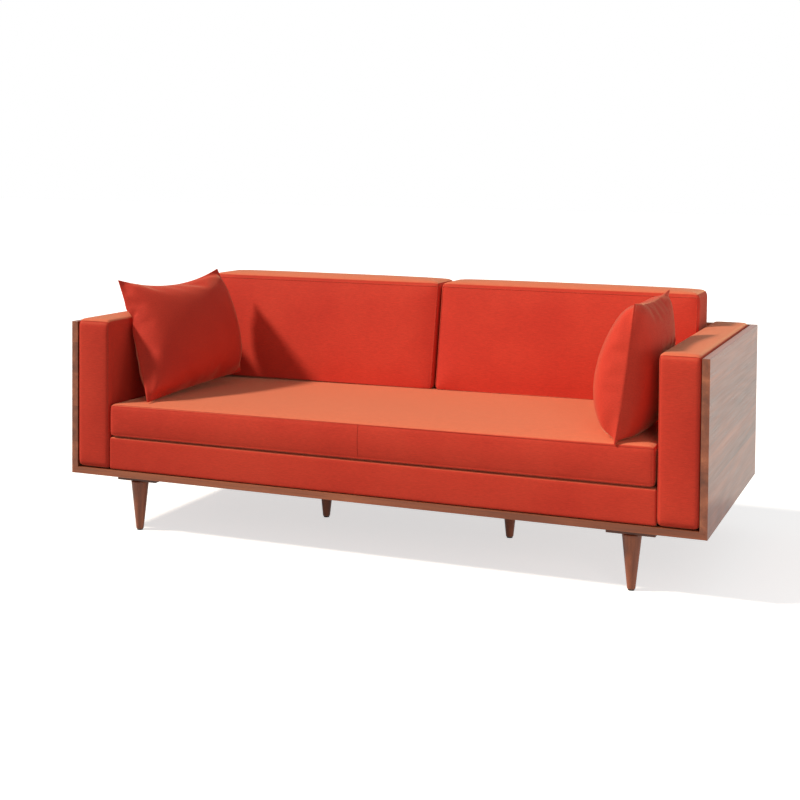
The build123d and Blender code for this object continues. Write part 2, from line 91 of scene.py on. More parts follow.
def addNode(tree, kind, inputs=None, **settings):
    node = tree.nodes.new(kind)
    for key, value in settings.items():
        setattr(node, key, value)
    for key, value in (inputs or {}).items():
        if isinstance(value, bpy.types.NodeSocket):
            tree.links.new(value, node.inputs[key])
        else:
            node.inputs[key].default_value = value
    return node


def addRamp(tree, factor, stops, interpolation="LINEAR"):
    node = addNode(tree, "ShaderNodeValToRGB", {"Fac": factor})
    ramp = node.color_ramp
    ramp.interpolation = interpolation
    while len(ramp.elements) > 1:
        ramp.elements.remove(ramp.elements[-1])
    for index, (place, colour) in enumerate(stops):
        element = ramp.elements[0] if index == 0 else ramp.elements.new(place)
        element.position = place
        element.color = (*colour, 1) if len(colour) == 3 else colour
    return node.outputs["Color"]


def mathNode(tree, operation, first, second=0.0):
    return addNode(tree, "ShaderNodeMath", {0: first, 1: second}, operation=operation).outputs[0]


def mixColour(tree, blend, factor, first, second):
    node = addNode(tree, "ShaderNodeMix", data_type="RGBA", blend_type=blend)
    for socket, value in ((0, factor), (6, first), (7, second)):
        if isinstance(value, bpy.types.NodeSocket):
            tree.links.new(value, node.inputs[socket])
        else:
            node.inputs[socket].default_value = value
    return node.outputs[2]


def mapped(tree, scale=(1, 1, 1)):
    coords = addNode(tree, "ShaderNodeTexCoord").outputs["Object"]
    return addNode(tree, "ShaderNodeMapping", {"Vector": coords, "Scale": scale}).outputs["Vector"]


def addNoise(tree, vector, scale, detail, roughness=0.5):
    values = {"Vector": vector, "Scale": scale, "Detail": detail, "Roughness": roughness}
    return addNode(tree, "ShaderNodeTexNoise", values).outputs["Fac"]


def addBump(tree, height, strength, distance, below=None):
    values = {"Height": height, "Strength": strength, "Distance": distance}
    if below is not None:
        values["Normal"] = below
    return addNode(tree, "ShaderNodeBump", values).outputs["Normal"]


def greyRamp(tree, factor, start, end, tones):
    return addRamp(tree, factor, [(start, (tones[0],) * 3), (end, (tones[1],) * 3)])


def setInputs(shader, values):
    for key, value in values.items():
        shader.inputs[key].default_value = value


# upholstery cloth: a fine close weave with a soft pile, and a painted sheen that pales its upward faces
cloth = {
    "colour": (0.68, 0.050, 0.026),
    "deep": (0.64, 0.043, 0.023),
    "pale": (0.71, 0.058, 0.030),
    # the tone below is painted sheen: upward faces are painted paler and warmer, as if lit at a grazing angle
    "worn": (0.76, 0.185, 0.092),
    "driftScale": 3.2,
    "slubScale": (60, 420, 420),
    "slub": (0.86, 1.08),
    "slubShare": 0.7,
    "fleckScale": 900,
    "fleck": (0.88, 1.08),
    "thread": 0.0011,
    "weave": 0.18,
    "weaveDepth": 0.00025,
    "rumpleScale": 38,
    "rumple": 0.25,
    "rumpleDepth": 0.0012,
    "finish": {
        "Roughness": 0.78,
        "Sheen Weight": 0.6,
        "Sheen Roughness": 0.30,
        "Sheen Tint": (1.0, 0.72, 0.44, 1),
        "Specular IOR Level": 0.25,
    },
}
waveRadians = 20  # a wave node of scale 1 turns through this much in a metre


def makeCloth(name, tone=1.0):
    mat, tree, shader = newMaterial(name)
    flat = mapped(tree)
    deep, middle, pale, paintedSheenTone = [
        tuple(part * tone for part in cloth[key]) for key in ("deep", "colour", "pale", "worn")]
    drift = addNoise(tree, flat, cloth["driftScale"], 3, 0.55)
    base = addRamp(tree, drift, [(0.35, deep), (0.5, middle), (0.65, pale)])
    slub = addNoise(tree, mapped(tree, cloth["slubScale"]), 1.0, 2)
    fleck = addNoise(tree, flat, cloth["fleckScale"], 1)
    # painted sheen: an attribute mask, high on upward faces, mixes the base colour towards the pale painted
    # sheen tone
    nap = addNode(tree, "ShaderNodeAttribute", attribute_name="nap")
    worn = mixColour(tree, "MIX", nap.outputs["Fac"], base, (*paintedSheenTone, 1))
    streak = greyRamp(tree, slub, 0.3, 0.7, cloth["slub"])
    streaked = mixColour(tree, "MULTIPLY", cloth["slubShare"], worn, streak)
    woven = mixColour(tree, "MULTIPLY", 1.0, streaked, greyRamp(tree, fleck, 0.3, 0.7, cloth["fleck"]))
    tree.links.new(woven, shader.inputs["Base Color"])
    waveScale = 2 * math.pi / (waveRadians * cloth["thread"])
    bands = []
    for axis in "XYZ":
        values = {"Vector": flat, "Scale": waveScale, "Distortion": 0.4, "Detail": 1, "Detail Scale": 0.3}
        wave = addNode(tree, "ShaderNodeTexWave", values, bands_direction=axis)
        bands.append(wave.outputs["Fac"])
    weave = mathNode(tree, "ADD", mathNode(tree, "ADD", bands[0], bands[1]), bands[2])
    fine = addBump(tree, weave, cloth["weave"], cloth["weaveDepth"])
    soft = addNoise(tree, flat, cloth["rumpleScale"], 3, 0.6)
    rumple = addBump(tree, soft, cloth["rumple"], cloth["rumpleDepth"], fine)
    tree.links.new(rumple, shader.inputs["Normal"])
    setInputs(shader, cloth["finish"])
    return mat


# walnut: boards glued edge to edge, each with its own tone and its own piece of grain
walnut = {
    "dark": (0.100, 0.029, 0.013),
    "middle": (0.165, 0.048, 0.021),
    "light": (0.270, 0.090, 0.041),
    "span": (-1.1, 1.1),
    "jump": (37.0, 23.0, 51.0),
    "lines": 9.0,
    "bend": 9.0,
    "lineShare": 0.30,
    "fineShare": 0.80,
    "pore": (0.62, 0.58, 0.55),
    "poreShare": 0.6,
    "fibreDark": (0.80, 0.78, 0.76),
    "fibreLight": (1.14, 1.12, 1.10),
    "fibreShare": 0.6,
    "roughness": (0.25, 0.40),
    "specular": 0.5,
    "coatRoughness": 0.22,
}
# how closely each kind of figure lies along the grain and across it
figures = {"warp": (0.8, 3.2), "fine": (0.9, 38.0), "pores": (22, 800), "fibres": (5, 240)}


def makeWalnut(name, grain, across, edges, tones, gain=1.0, shift=(0, 0, 0), glare=0.1):
    mat, tree, shader = newMaterial(name)
    coords = addNode(tree, "ShaderNodeTexCoord").outputs["Object"]
    split = addNode(tree, "ShaderNodeSeparateXYZ", {"Vector": coords})
    # which board a point lies in, as a step along the across axis
    low, high = walnut["span"]
    place = mathNode(tree, "DIVIDE", mathNode(tree, "SUBTRACT", split.outputs[across], low), high - low)
    stops = [(0.0, (tones[0],) * 3)]
    stops += [((edge - low) / (high - low), (tone,) * 3) for edge, tone in zip(edges, tones[1:])]
    board = addRamp(tree, place, stops, "CONSTANT")
    boardValue = addNode(tree, "ShaderNodeSeparateColor", {"Color": board}).outputs[0]
    jump = addNode(tree, "ShaderNodeCombineXYZ", {
        axis: mathNode(tree, "MULTIPLY", boardValue, size) for axis, size in zip("XYZ", walnut["jump"])})
    moved = addNode(tree, "ShaderNodeVectorMath", {0: coords, 1: jump.outputs[0]}, operation="ADD")

    def stretched(kind):
        along, crosswise = figures[kind]
        scale = [crosswise] * 3
        scale["XYZ".index(grain)] = along
        values = {"Vector": moved.outputs[0], "Scale": tuple(scale), "Location": shift}
        return addNode(tree, "ShaderNodeMapping", values).outputs["Vector"]

    # growth lines: even steps across the board, bent by slow noise into long arches
    crossing = mathNode(tree, "ADD", *[split.outputs[axis] for axis in "XYZ" if axis != grain])
    warp = addNoise(tree, stretched("warp"), 1.0, 2)
    fine = addNoise(tree, stretched("fine"), 1.0, 3)
    even = mathNode(tree, "MULTIPLY", crossing, walnut["lines"])
    phase = mathNode(tree, "ADD", even, mathNode(tree, "MULTIPLY", warp, walnut["bend"]))
    lines = mathNode(tree, "PINGPONG", mathNode(tree, "ADD", phase, boardValue), 0.5)
    drawn = mathNode(tree, "MULTIPLY", lines, walnut["lineShare"])
    figure = mathNode(tree, "ADD", drawn, mathNode(tree, "MULTIPLY", fine, walnut["fineShare"]))
    wood = addRamp(tree, figure, [(0.25, walnut["dark"]), (0.50, walnut["middle"]), (0.78, walnut["light"])])
    toned = mixColour(tree, "MULTIPLY", 1.0, wood, board)
    # short dark pores along the grain
    pores = addNoise(tree, stretched("pores"), 1.0, 2, 0.7)
    poreMask = addRamp(tree, pores, [(0.32, walnut["pore"]), (0.44, (1, 1, 1))])
    fibre = addNoise(tree, stretched("fibres"), 1.0, 3)
    fibreTone = addRamp(tree, fibre, [(0.3, walnut["fibreDark"]), (0.7, walnut["fibreLight"])])
    fibred = mixColour(tree, "MULTIPLY", walnut["fibreShare"], toned, fibreTone)
    final = mixColour(tree, "MULTIPLY", walnut["poreShare"], fibred, poreMask)
    bright = mixColour(tree, "MULTIPLY", 1.0, final, (gain, gain, gain, 1))
    tree.links.new(bright, shader.inputs["Base Color"])
    tree.links.new(greyRamp(tree, fibre, 0.2, 0.8, walnut["roughness"]), shader.inputs["Roughness"])
    tree.links.new(addBump(tree, pores, 0.10, 0.0002), shader.inputs["Normal"])
    setInputs(shader, {"Specular IOR Level": walnut["specular"], "Coat Weight": glare,
                       "Coat Roughness": walnut["coatRoughness"]})
    return mat


def makePlain(name, colour, roughness, metallic=0.0, grainScale=240.0, spread=0.2, bump=0.15):
    mat, tree, shader = newMaterial(name)
    noise = addNoise(tree, mapped(tree), grainScale, 3)
    low = tuple(part * (1 - spread) for part in colour)
    high = tuple(min(part * (1 + spread), 1) for part in colour)
    tree.links.new(addRamp(tree, noise, [(0.3, low), (0.7, high)]), shader.inputs["Base Color"])
    tree.links.new(addBump(tree, noise, bump, 0.0004), shader.inputs["Normal"])
    setInputs(shader, {"Roughness": roughness, "Metallic": metallic})
    return mat


# plain sawn wood: broad soft rings along the grain
sawn = {"along": 1.5, "across": 40.0, "shade": 0.72, "roughness": 0.7}


def makePine(name, grain, colour):
    mat, tree, shader = newMaterial(name)
    scale = [sawn["across"]] * 3
    scale["XYZ".index(grain)] = sawn["along"]
    rings = addNoise(tree, mapped(tree, tuple(scale)), 1.0, 4)
    dark = tuple(part * sawn["shade"] for part in colour)
    tree.links.new(addRamp(tree, rings, [(0.35, dark), (0.6, colour)]), shader.inputs["Base Color"])
    shader.inputs["Roughness"].default_value = sawn["roughness"]
    return mat


# walnut pieces: the way the grain runs, the way the boards lie, the glue lines and each board's tone
orangeCloth = makeCloth("orangeCloth")
baseWalnut = makeWalnut(
    "baseWalnut", "X", "Y", [-0.30, -0.12, 0.08, 0.27], [1.0, 0.85, 1.1, 0.9, 1.05], gain=2.2)
backWalnut = makeWalnut(
    "backWalnut", "X", "Z", [0.32, 0.45, 0.58], [0.9, 1.1, 0.8, 1.0], gain=1.1)
sideWalnutRight = makeWalnut(
    "sideWalnutRight", "Y", "Z", [0.332, 0.377, 0.439, 0.608], [0.95, 0.66, 1.02, 0.84, 1.08],
    gain=2.1, glare=0.3)
sideWalnutLeft = makeWalnut(
    "sideWalnutLeft", "Y", "Z", [0.29, 0.41, 0.52, 0.62], [1.0, 0.78, 1.05, 0.82, 1.0],
    gain=2.1, shift=(3, 5, 2), glare=0.3)
legWalnut = makeWalnut(
    "legWalnut", "Z", "X", [-0.6, 0.0, 0.6], [1.0, 0.9, 1.1, 1.0], gain=2.3, shift=(1, 7, 4))
battenWalnut = makeWalnut("battenWalnut", "Y", "X", [0.0], [0.9, 1.0], shift=(6, 1, 2))
beech = makePine("beech", "Z", (0.62, 0.44, 0.27))
pine = makePine("pine", "X", (0.66, 0.47, 0.27))
plywood = makePine("plywood", "Y", (0.60, 0.44, 0.27))
zincSteel = makePlain(
    "zincSteel", (0.60, 0.60, 0.58), 0.38, metallic=1.0, grainScale=500, spread=0.1, bump=0.1)
springSteel = makePlain(
    "springSteel", (0.22, 0.22, 0.23), 0.45, metallic=1.0, grainScale=400, spread=0.2, bump=0.1)
nylon = makePlain("nylon", (0.035, 0.032, 0.030), 0.55)
felt = makePlain("felt", (0.26, 0.25, 0.24), 0.95, grainScale=700, spread=0.4, bump=0.6)
foam = makePlain("foam", (0.80, 0.73, 0.50), 0.9, grainScale=900, spread=0.12, bump=0.5)
ticking = makePlain("ticking", (0.80, 0.78, 0.72), 0.9, grainScale=800, spread=0.08, bump=0.3)
webbing = makePlain("webbing", (0.05, 0.05, 0.05), 0.85, grainScale=600, spread=0.4, bump=0.5)
zipTape = makePlain("zipTape", (0.42, 0.05, 0.02), 0.8, grainScale=900, spread=0.25, bump=0.4)
print("materials made")


# finishes of the nodes that are shown as the design has them
def dress(node, mat):
    mesh = nodes[node].data
    mesh.materials.clear()
    mesh.materials.append(mat)


finishes = {
    "base_board": baseWalnut, "back_panel": backWalnut, "side_panel_left": sideWalnutLeft,
    "side_panel_right": sideWalnutRight, "leg_batten_left": battenWalnut, "leg_batten_right": battenWalnut,
    "leg_batten_centre": battenWalnut, "leg_bolts": zincSteel, "leg_tee_nuts": zincSteel,
    "leg_glides": nylon, "case_dowels": beech, "deck_springs": springSteel, "spring_clips": springSteel,
    "deck_felt": felt, "deck_foam": foam, "back_pad": foam, "back_webbing": webbing,
    "deck_side_rail_left": plywood, "deck_side_rail_right": plywood, "deck_cross_rails": plywood,
    "arm_board_left": plywood, "arm_board_right": plywood, "arm_foam_left": foam, "arm_foam_right": foam,
    "seat_cushion_core": foam, "back_cushion_left_core": foam, "back_cushion_right_core": foam,
    "pillow_left_insert": ticking, "pillow_right_insert": ticking,
}
for nodeName in nodes:
    if nodeName.endswith("screws"):
        dress(nodeName, zincSteel)
    elif nodeName.endswith("zip"):
        dress(nodeName, zipTape)
    elif nodeName.startswith("leg_") and nodeName not in finishes:
        dress(nodeName, legWalnut)
    else:
        dress(nodeName, finishes.get(nodeName, pine))


# mesh helpers for the soft pieces
def linkPiece(name, bm, mat):
    mesh = bpy.data.meshes.new(name)
    bm.to_mesh(mesh)
    bm.free()
    mesh.materials.append(mat)
    for face in mesh.polygons:
        face.use_smooth = True
    piece = bpy.data.objects.new(name, mesh)
    scene.collection.objects.link(piece)
    return piece


def cutPlaces(low, high, cell, near):
    # fine cells beside each end, where the seams run, and even cells between them
    places = [low + step for step in near] + [high - step for step in near]
    inner = high - low - 2 * near[-1]
    count = max(int(round(inner / cell)), 1)
    places += [low + near[-1] + inner * index / count for index in range(1, count)]
    return sorted(places)


def gridBox(low, high, cell, near=(0.004, 0.010, 0.019)):
    bm = bmesh.new()
    bmesh.ops.create_cube(bm, size=1.0)
    for axis in range(3):
        places = [low[axis], *cutPlaces(low[axis], high[axis], cell[axis], near), high[axis]]
        # the edges that run along this axis are the ones to be cut
        along = [edge for edge in bm.edges if abs(edge.verts[0].co[axis] - edge.verts[1].co[axis]) > 0.5]
        bmesh.ops.subdivide_edges(bm, edges=along, cuts=len(places) - 2, use_grid_fill=True)
        for vert in bm.verts:
            vert.co[axis] = places[round((vert.co[axis] + 0.5) * (len(places) - 1))]
    return bm


# sewn edges: a low ridge, a shallow valley beside it, and the strip that stays still while a piece is puffed
sewn = {"ridge": 0.0012, "groove": 0.0010, "ridgeWidth": 0.001, "grooveWidth": 0.008, "still": 0.010}


def roundCorners(bm, low, high, radius, ridge=sewn["ridge"], groove=sewn["groove"]):
    # each point keeps its direction from the box shrunk by the radii
    for vert in bm.verts:
        inner = Vector([min(max(vert.co[i], low[i] + radius[i]), high[i] - radius[i]) for i in range(3)])
        away = Vector([(vert.co[i] - inner[i]) / radius[i] for i in range(3)])
        depths = sorted(min(vert.co[i] - low[i], high[i] - vert.co[i]) for i in range(3))
        if away.length > 1e-9:
            away.normalize()
            out = Vector([away[i] * radius[i] for i in range(3)])
            seam = 0
            if depths[1] < sewn["ridgeWidth"]:
                seam = ridge
            elif depths[1] < sewn["grooveWidth"]:
                seam = -groove
            vert.co = inner + out + away * seam


def edgeWeights(piece, low, high):
    # 1 on the sewn edges, 0 on the panels between them
    weights = []
    for vert in piece.data.vertices:
        depths = sorted(min(vert.co[i] - low[i], high[i] - vert.co[i]) for i in range(3))
        weights.append(1.0 if depths[1] < sewn["still"] else 0.0)
    return weights


def pinGroup(piece, weights):
    group = piece.vertex_groups.new(name="held")
    for index, weight in enumerate(weights):
        if weight > 0:
            group.add([index], weight, "REPLACE")
    return group.name


# pieces wait here, each with its first shape and the furthest that any point may move
waiting = []
puff = {"quality": 5, "mass": 0.3, "damping": 5, "frames": 20}


def inflate(piece, held=None, pressure=4.0, shrink=0.0, stiffness=30.0, bending=4.0, cap=0.024):
    waiting.append((piece, [vert.co.copy() for vert in piece.data.vertices], cap))
    cloths = piece.modifiers.new("puff", "CLOTH")
    values = cloths.settings
    values.quality = puff["quality"]
    values.mass = puff["mass"]
    values.tension_stiffness = values.compression_stiffness = values.shear_stiffness = stiffness
    values.bending_stiffness = bending
    values.use_pressure = True
    values.uniform_pressure_force = pressure
    values.shrink_min = values.shrink_max = shrink
    values.effector_weights.gravity = 0
    values.air_damping = puff["damping"]
    if held:
        values.vertex_group_mass = pinGroup(piece, held)
        values.pin_stiffness = 1.0
    cloths.collision_settings.use_collision = False
    cloths.collision_settings.use_self_collision = False


def settleCloth():
    for number in range(1, puff["frames"] + 1):
        scene.frame_set(number)
    graph = bpy.context.evaluated_depsgraph_get()
    for piece, before, cap in waiting:
        if "puff" in piece.modifiers:
            after = [vert.co.copy() for vert in piece.evaluated_get(graph).to_mesh().vertices]
            piece.evaluated_get(graph).to_mesh_clear()
            for vert, start, end in zip(piece.data.vertices, before, after):
                move = end - start
                if move.length > 1e-9:
                    move *= cap * math.tanh(move.length / cap) / move.length
                vert.co = start + move
    for piece, _, _ in waiting:
        for modifier in list(piece.modifiers):
            piece.modifiers.remove(modifier)
        piece.vertex_groups.clear()
    waiting.clear()
    scene.frame_set(1)


def refine(piece, levels=1):
    smooth = piece.modifiers.new("smooth", "SUBSURF")
    smooth.levels = smooth.render_levels = levels


def smoothStep(value, start, end):
    part = min(max((value - start) / (end - start), 0), 1)
    return part * part * (3 - 2 * part)


def surfaceOf(piece):
    graph = bpy.context.evaluated_depsgraph_get()
    return BVHTree.FromObject(piece, graph)


def restOn(piece, support, gap=0.0008, reach=0.09):
    # what would sink into the piece below is laid flat on it
    below = surfaceOf(support)
    for vert in piece.data.vertices:
        hit = below.ray_cast(vert.co + Vector((0, 0, reach)), Vector((0, 0, -1)), 2 * reach)[0]
        if hit is not None and vert.co.z < hit.z + gap:
            vert.co.z = hit.z + gap


def boxOf(node):
    low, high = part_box(node)
    return Vector(low), Vector(high)


def trimmedBox(node, values):
    low, high = boxOf(node)
    return low + Vector(values["lowTrim"]), high - Vector(values["highTrim"])


def keepWithin(piece, **limits):
    # nothing bulges past a face that a neighbour lies against
    for vert in piece.data.vertices:
        for name, limit in limits.items():
            axis = "xyz".index(name[-1])
            if name.startswith("low"):
                vert.co[axis] = max(vert.co[axis], limit)
            else:
                vert.co[axis] = min(vert.co[axis], limit)


# seat cushion: one long box cushion, its rear under the back cushions
seat = {
    "cell": (0.0165, 0.0150, 0.020),
    "radius": (0.013, 0.010, 0.022),
    "lowTrim": (-0.001, -0.003, 0.0006),
    "highTrim": (0.001, 0.004, 0.007),
    "pressure": 3.0,
    "cap": 0.010,
    "tilt": 0.007,
    "crown": 0.005,
}


def makeSeat():
    low, high = trimmedBox("seat_cushion_cover", seat)
    bm = gridBox(low, high, seat["cell"])
    roundCorners(bm, low, high, seat["radius"])
    piece = linkPiece("seatCushion", bm, orangeCloth)
    inflate(piece, edgeWeights(piece, low, high), pressure=seat["pressure"], cap=seat["cap"])
    return piece, low, high


seatCushion, seatLow, seatHigh = makeSeat()
print("seat cushion started")


# back cushions: wedges that lean on the inner back
wedge = {
    "cell": (0.0165, 0.020, 0.0165),
    "radius": (0.022, 0.013, 0.020),
    "lowTrim": (0.002, 0.004, 0.001),
    "highTrim": (0.002, 0.004, 0.005),
    "pressure": 3.0,
    "cap": 0.012,
    "foot": 0.139,
    "crest": 0.208,
}


def makeBackCushion(side, name):
    low, high = trimmedBox("back_cushion_" + side + "_cover", wedge)
    bm = gridBox(low, high, wedge["cell"])
    roundCorners(bm, low, high, wedge["radius"])
    piece = linkPiece(name, bm, orangeCloth)
    held = edgeWeights(piece, low, high)
    slope = (wedge["crest"] - wedge["foot"]) / (high.z - low.z)
    for vert in piece.data.vertices:
        front = (high.y - vert.co.y) / (high.y - low.y)
        vert.co.y += front * slope * (vert.co.z - low.z)
    inflate(piece, held, pressure=wedge["pressure"], cap=wedge["cap"])
    return piece


backCushions = {side: makeBackCushion(side, "backCushion" + side.title()) for side in ("left", "right")}
print("back cushions started")


# padded arms
arm = {
    "cell": (0.016, 0.018, 0.018),
    "radius": (0.014, 0.020, 0.026),
    "lowTrim": (-0.0005, -0.008, 0.0005),
    "highTrim": (-0.0005, 0.002, 0.004),
    "ridge": 0.0008,
    "groove": 0.0006,
    "pressure": 1.2,
    "bending": 6.0,
    "cap": 0.004,
}


def makeArm(side, name):
    low, high = trimmedBox("arm_cover_" + side, arm)
    bm = gridBox(low, high, arm["cell"])
    roundCorners(bm, low, high, arm["radius"], arm["ridge"], arm["groove"])
    piece = linkPiece(name, bm, orangeCloth)
    inflate(piece, edgeWeights(piece, low, high), arm["pressure"], bending=arm["bending"], cap=arm["cap"])
    return piece


arms = {side: makeArm(side, "arm" + side.title()) for side in ("left", "right")}


# seat deck under the cushion, tightly covered
deck = {
    "cell": (0.030, 0.030, 0.018),
    "radius": (0.006, 0.006, 0.008),
    "lowTrim": (-0.001, -0.004, 0),
    "highTrim": (-0.001, 0, 0.0015),
    "pressure": 1.0,
    "bending": 6.0,
    "cap": 0.002,
}


def makeDeck():
    low, high = trimmedBox("deck_cover", deck)
    bm = gridBox(low, high, deck["cell"])
    roundCorners(bm, low, high, deck["radius"], 0, 0)
    piece = linkPiece("seatDeck", bm, orangeCloth)
    inflate(piece, edgeWeights(piece, low, high), deck["pressure"], bending=deck["bending"], cap=deck["cap"])
    return piece


seatDeck = makeDeck()


# the padded inner back, seen only when the cushions are off
innerPad = {"cell": (0.06, 0.03, 0.06), "near": (0.004, 0.012), "radius": (0.008, 0.008, 0.008)}


def makeInnerBack():
    low, high = boxOf("back_lining")
    bm = gridBox(low, high, innerPad["cell"], innerPad["near"])
    roundCorners(bm, low, high, innerPad["radius"], 0, 0)
    return linkPiece("innerBack", bm, orangeCloth)


innerBack = makeInnerBack()
print("arms, deck and inner back started")


# throw pillows: two squares sewn at the rim, plump in the middle, thin at the ears
pillow = {
    "cells": 48,
    "rows": (0.55, 0.45),
    "rim": 0.003,
    "rimFall": (-0.05, 0.10),
    "fullness": 0.46,
    "sag": 0.26,
    "bow": 0.4,
    "pressure": 2.5,
    "shrink": -0.018,
    "stiffness": 15,
    "bending": 2.5,
    "cap": 0.009,
    "smooth": 2,
}
# corners: near foot, far foot, far crown, near crown; pull: how far each rim is drawn in
stands = {
    "left": {"corners": ((-0.792, -0.430, 0.436), (-0.722, 0.075, 0.476), (-0.850, 0.128, 0.843),
                         (-0.988, -0.310, 0.828)),
             "pull": (0.010, 0.105, 0.030, -0.060), "face": 0.092, "rear": 0.070},
    "right": {"corners": ((0.812, -0.050, 0.446), (0.798, -0.468, 0.434), (0.853, -0.476, 0.846),
                          (0.868, -0.059, 0.853)),
              "pull": (-0.010, 0.035, 0.040, 0.020), "face": 0.120, "rear": 0.072},
}


def makePillow(name, stand):
    bm = bmesh.new()
    bmesh.ops.create_grid(bm, x_segments=pillow["cells"], y_segments=pillow["cells"], size=1)
    grown = bmesh.ops.extrude_face_region(bm, geom=bm.faces[:])
    raised = [item for item in grown["geom"] if isinstance(item, bmesh.types.BMVert)]
    bmesh.ops.translate(bm, vec=(0, 0, pillow["rim"]), verts=raised)
    bmesh.ops.recalc_face_normals(bm, faces=bm.faces[:])
    footNear, footFar, crownFar, crownNear = [Vector(corner) for corner in stand["corners"]]
    across = (footFar - footNear + crownFar - crownNear).normalized()
    upward = (crownNear - footNear + crownFar - footFar).normalized()
    facing = across.cross(upward).normalized()
    footPull, crownPull, nearPull, farPull = stand["pull"]
    crowded, even = pillow["rows"]
    bow = pillow["bow"]
    held = []
    for vert in bm.verts:
        # closer rows of cells towards the rim
        u, v = (math.sin(part * math.pi / 2) * crowded + part * even for part in (vert.co.x, vert.co.y))
        side = 1 if vert.co.z > pillow["rim"] / 2 else -1
        room = max((1 - u * u) * (1 - v * v), 0)
        height = room ** pillow["fullness"] * stand["face" if side > 0 else "rear"] * (1 - pillow["sag"] * v)
        height *= smoothStep(room, *pillow["rimFall"])
        p, q = (u + 1) / 2, (v + 1) / 2
        spot = (footNear.lerp(footFar, p)).lerp(crownNear.lerp(crownFar, p), q)
        # each rim is drawn in between its ears
        bowAcross, bowUp = 1 - u * u, 1 - v * v
        spot += upward * bowAcross * bow * (footPull * max(-v, 0) ** 2 - crownPull * max(v, 0) ** 2)
        spot += across * bowUp * bow * (nearPull * max(-u, 0) ** 2 - farPull * max(u, 0) ** 2)
        vert.co = spot + facing * side * (height + pillow["rim"] / 2)
        held.append(1.0 if room < 1e-6 else 0.0)
    piece = linkPiece(name, bm, orangeCloth)
    inflate(piece, held, pillow["pressure"], pillow["shrink"], pillow["stiffness"], pillow["bending"],
            pillow["cap"])
    return piece


pillows = {side: makePillow("pillow" + side.title(), stands[side]) for side in ("left", "right")}
print("pillows started")

settleCloth()
print("cloth settled")


def shapeSeat():
    low, high = seatLow, seatHigh
    for vert in seatCushion.data.vertices:
        u = vert.co.x / high.x
        v = (vert.co.y - low.y) / (high.y - low.y)
        up = smoothStep(vert.co.z, low.z, high.z)
        vert.co.z += up * (seat["tilt"] * u + seat["crown"] * (1 - u ** 4) * math.sin(math.pi * v))


shapeSeat()
# room kept between a soft piece and what it lies against
spare = {"skin": 0.0006, "rear": 0.0042, "arm": 0.005, "armTop": 0.003, "armEdge": 0.022, "pillow": 0.016}
skin = spare["skin"]
low, high = boxOf("seat_cushion_cover")
deckTop = boxOf("deck_cover")[1].z
keepWithin(seatCushion, lowx=low.x - skin, highx=high.x + skin, lowz=deckTop + skin,
           highy=high.y - spare["rear"])
keepWithin(seatDeck, highz=deckTop - skin)
for side, piece in arms.items():
    low, high = boxOf("arm_cover_" + side)
    keepWithin(piece, lowx=low.x + skin, highx=high.x - skin, lowz=low.z)
for side, piece in backCushions.items():
    low, high = boxOf("back_cushion_" + side + "_cover")
    keepWithin(piece, lowx=low.x + skin, highx=high.x - skin, highy=high.y - spare["rear"])
refine(seatCushion)
bpy.context.view_layer.update()


def easeFolds(piece, rounds):
    # sharp creases relax into soft ones, the sewn rim stays where it is
    bm = bmesh.new()
    bm.from_mesh(piece.data)
    short = pillow["rim"] * 1.2
    rim = {vert for vert in bm.verts if any(edge.calc_length() < short for edge in vert.link_edges)}
    loose = [vert for vert in bm.verts if vert not in rim]
    for _ in range(rounds):
        bmesh.ops.smooth_vert(bm, verts=loose, factor=0.5, use_axis_x=True, use_axis_y=True, use_axis_z=True)
    bm.to_mesh(piece.data)
    bm.free()


def standClear(piece, neighbour, gap, reach=0.06):
    # what would lie inside the neighbour comes out through its nearest side
    surface = surfaceOf(neighbour)
    for vert in piece.data.vertices:
        spot, normal = surface.find_nearest(vert.co, reach)[:2]
        if spot is not None and (vert.co - spot).dot(normal) < gap:
            vert.co = spot + normal * gap


def leanOnArm(piece, side):
    # what would sink into the arm moves to its inner side, or up onto its top near the edge
    armLow, armHigh = boxOf("arm_cover_" + side)
    limit = min(abs(armLow.x), abs(armHigh.x)) - spare["arm"]
    armTop = armHigh.z + spare["armTop"]
    for vert in piece.data.vertices:
        over, under = abs(vert.co.x) - limit, armTop - vert.co.z
        if over > 0 and under > 0:
            if under < spare["armEdge"] and over > under:
                vert.co.z = armTop
            else:
                vert.co.x = math.copysign(limit, vert.co.x)


for side, piece in pillows.items():
    easeFolds(piece, pillow["smooth"])
    restOn(piece, seatCushion)
    leanOnArm(piece, side)
    standClear(piece, arms[side], spare["pillow"])
    refine(piece)

for side, piece in backCushions.items():
    restOn(piece, seatCushion)
    refine(piece)
for piece in arms.values():
    refine(piece)
refine(seatDeck)
refine(innerBack)


# how far a face turns upward before the painted sheen starts to pale it, and where it is palest
sheenMaskTurn = (0.25, 0.98)


def paintSheenMask(piece, strength):
    layer = piece.data.attributes.new("nap", "FLOAT", "POINT")
    for vert in piece.data.vertices:
        layer.data[vert.index].value = strength * smoothStep(vert.normal.z, *sheenMaskTurn)


# painted sheen: the upward faces of the seat, deck, back cushions and arms are painted paler; the pillows get
# none
for piece in [seatCushion, seatDeck, *backCushions.values(), *arms.values()]:
    paintSheenMask(piece, 1.0)
for piece in pillows.values():
    paintSheenMask(piece, 0.0)
bpy.context.view_layer.update()
print("soft pieces shaped")


# sewn seams: a thin line of thread, half sunk in the cloth
seam = {"radius": 0.0008, "sides": 5, "step": 0.012, "lift": 0.15}


def walkLoop(points, step, closed=True):
    path = []
    ends = points[1:] + points[:1] if closed else points[1:]
    for start, end in zip(points, ends):
        count = max(int((end - start).length / step), 1)
        path += [start.lerp(end, number / count) for number in range(count)]
    return path if closed else path + [points[-1]]


